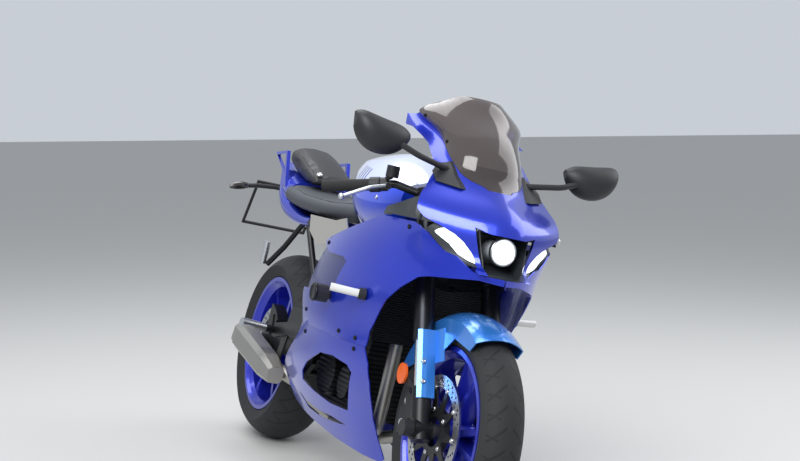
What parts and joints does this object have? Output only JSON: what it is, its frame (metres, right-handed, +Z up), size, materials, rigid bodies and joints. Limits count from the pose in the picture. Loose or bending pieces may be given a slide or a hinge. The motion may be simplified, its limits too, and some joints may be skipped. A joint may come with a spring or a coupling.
{
  "type": "sport motorcycle",
  "caption": "Fully faired blue sport motorcycle parked on its side stand, with turning wheels, swinging handlebars and a folding stand.",
  "frame": {"origin": "centre of the footprint on the ground under the leaned motorcycle", "axes": "+X forward, +Y to the rider's left, +Z up; the motorcycle leans 12.5 degrees towards +Y on its side stand"},
  "size_m": [2.124, 0.8132, 1.1704],
  "materials": {
    "dark_alloy": "satin",
    "bright_chrome": "polished",
    "steel": "brushed",
    "black_casting": "satin",
    "black_plastic": "matte",
    "black_rubber": "matte",
    "silver_alloy": "satin",
    "pale_blue_paint": "gloss",
    "amber_plastic": "gloss",
    "blue_wheel_paint": "gloss",
    "tyre_rubber": "matte",
    "blue_paint": "satin metallic",
    "smoked_screen": "clear smoked",
    "lamp_glass": "clear",
    "engine_alloy": "cast",
    "exhaust_steel": "satin",
    "tank_blue": "gloss",
    "grey_seat": "matte",
    "black_seat": "matte",
    "red_lens": "gloss",
    "clear_lens": "gloss",
    "mirror_glass": "polished",
    "silver_paint": "satin"
  },
  "bodies": {
    "steering": {"triple_clamps": "dark_alloy", "fork_outer_tubes": "dark_alloy", "fork_inner_tubes": "bright_chrome", "fork_feet": "black_casting", "front_axle": "steel", "front_axle_bobbins": "black_plastic", "clip_on_bars": "black_casting", "grips": "black_rubber", "bar_controls": "black_plastic", "hand_levers": "silver_alloy", "front_fender": "pale_blue_paint", "front_calipers": "black_casting", "fork_reflectors": "amber_plastic"},
    "front_wheel": {"front_rim": "blue_wheel_paint", "front_tyre": "tyre_rubber", "front_brake_discs": "steel"},
    "rear_wheel": {"rear_rim": "blue_wheel_paint", "rear_tyre": "tyre_rubber", "rear_brake_disc": "steel", "rear_sprocket": "steel"},
    "side_stand_leg": {"side_stand": "black_casting"},
    "chassis": {"drive_chain": "steel", "side_cowls": "blue_paint", "side_recess_panels": "blue_paint", "belly_cowls": "blue_paint", "nose_cowl": "blue_paint", "windscreen": "smoked_screen", "inner_panels": "black_plastic", "front_lamps": "lamp_glass", "rear_axle": "steel", "rear_bobbins": "black_plastic", "rear_shock": "steel", "rear_caliper": "black_casting", "swingarm": "black_casting", "engine": "engine_alloy", "radiator": "black_casting", "exhaust_pipes": "exhaust_steel", "muffler": "exhaust_steel", "fuel_tank": "tank_blue", "rider_seat": "grey_seat", "pillion_seat": "black_seat", "tail_cowl": "blue_paint", "tail_lamp": "red_lens", "plate_bracket": "black_plastic", "front_signal_bases": "black_plastic", "turn_signal_lenses": "clear_lens", "instrument_pod": "black_plastic", "mirrors": "black_plastic", "mirror_glasses": "mirror_glass", "frame_sliders": "black_plastic", "rearset_brackets": "black_casting", "subframe": "black_casting", "foot_pegs": "silver_alloy", "side_covers": "silver_paint", "main_frame": "black_casting"}
  },
  "joints": [
    {"name": "steering", "type": "hinge", "parent": "chassis", "child": "steering", "pos_m": [0.5188, -0.04714, 0.74466], "axis": [-0.4008, 0.1982, 0.8944], "range_deg": [-28, 28]},
    {"name": "front_wheel", "type": "hinge", "parent": "steering", "child": "front_wheel", "pos_m": [0.76205, -0.14692, 0.29441], "axis": [-0.0002, 0.9763, -0.2164], "continuous": true},
    {"name": "rear_wheel", "type": "hinge", "parent": "chassis", "child": "rear_wheel", "pos_m": [-0.63294, -0.14367, 0.31005], "axis": [-0.0002, 0.9763, -0.2164], "continuous": true},
    {"name": "side_stand", "type": "hinge", "parent": "chassis", "child": "side_stand_leg", "pos_m": [-0.07301, 0.0323, 0.21635], "axis": [0.0878, 0.9508, 0.2971], "range_deg": [0, 104]}
  ]
}
